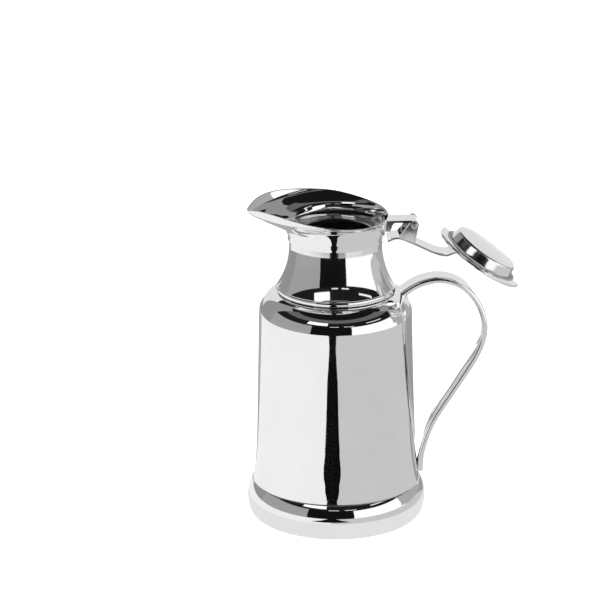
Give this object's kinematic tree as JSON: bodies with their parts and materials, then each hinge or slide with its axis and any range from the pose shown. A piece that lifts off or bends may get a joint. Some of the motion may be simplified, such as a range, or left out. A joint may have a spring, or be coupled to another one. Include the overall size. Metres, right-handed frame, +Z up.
{
  "type": "insulated jug",
  "caption": "Silver-plated insulated serving jug: tapered body on a flared base, narrow neck, flared pouring mouth, strap handle and flip-over lid with thumb lever.",
  "frame": {"origin": "centre of the jug's foot, on the table", "axes": "+Z up, +X towards the handle and the lid's hinge, -X towards the spout, +Y the jug's left side with the handle behind; the jug is symmetric about the XZ plane"},
  "size_m": [0.1872, 0.1226, 0.2266],
  "materials": {
    "silver_plate": "mirror-polished silver plate on steel, light wiping marks",
    "pin_steel": "turned steel, satin",
    "seat_steel": "pressed stainless steel, satin",
    "silvered_glass": "glass silvered on the vacuum side",
    "black_plastic": "moulded, fine grain",
    "plug_steel": "spun steel, polished, a little softer than the plate",
    "spacer_pad": "pressed fibre pad",
    "insulation_foam": "rigid foam",
    "cushion_rubber": "soft moulded rubber",
    "gasket_rubber": "pale food-grade silicone rubber"
  },
  "bodies": {
    "jug": {"base_ring": "silver_plate", "base_cap": "black_plastic", "flask_outer_wall": "silvered_glass", "flask_inner_wall": "silvered_glass", "flask_spacers": "spacer_pad", "liner_cushion": "cushion_rubber", "liner_spacer_ring": "spacer_pad", "neck_centring_ring": "cushion_rubber", "mouth_gasket": "gasket_rubber", "mouth_seat": "seat_steel", "body_shell": "silver_plate", "bead_ring": "silver_plate", "neck": "silver_plate", "spout_collar": "silver_plate", "hinge_bracket": "silver_plate", "hinge_pin": "pin_steel", "hinge_washers": "pin_steel", "handle": "silver_plate"},
    "lid": {"lid_cap": "silver_plate", "lid_plug": "plug_steel", "lid_insulation": "insulation_foam", "lid_seal": "gasket_rubber", "lid_lever": "silver_plate", "lid_rivets": "silver_plate"}
  },
  "joints": [
    {"name": "lid_hinge", "type": "hinge", "parent": "jug", "child": "lid", "pos_m": [0.053, 0, 0.2115], "axis": [0, 1, 0], "range_deg": [-215, 0]}
  ]
}
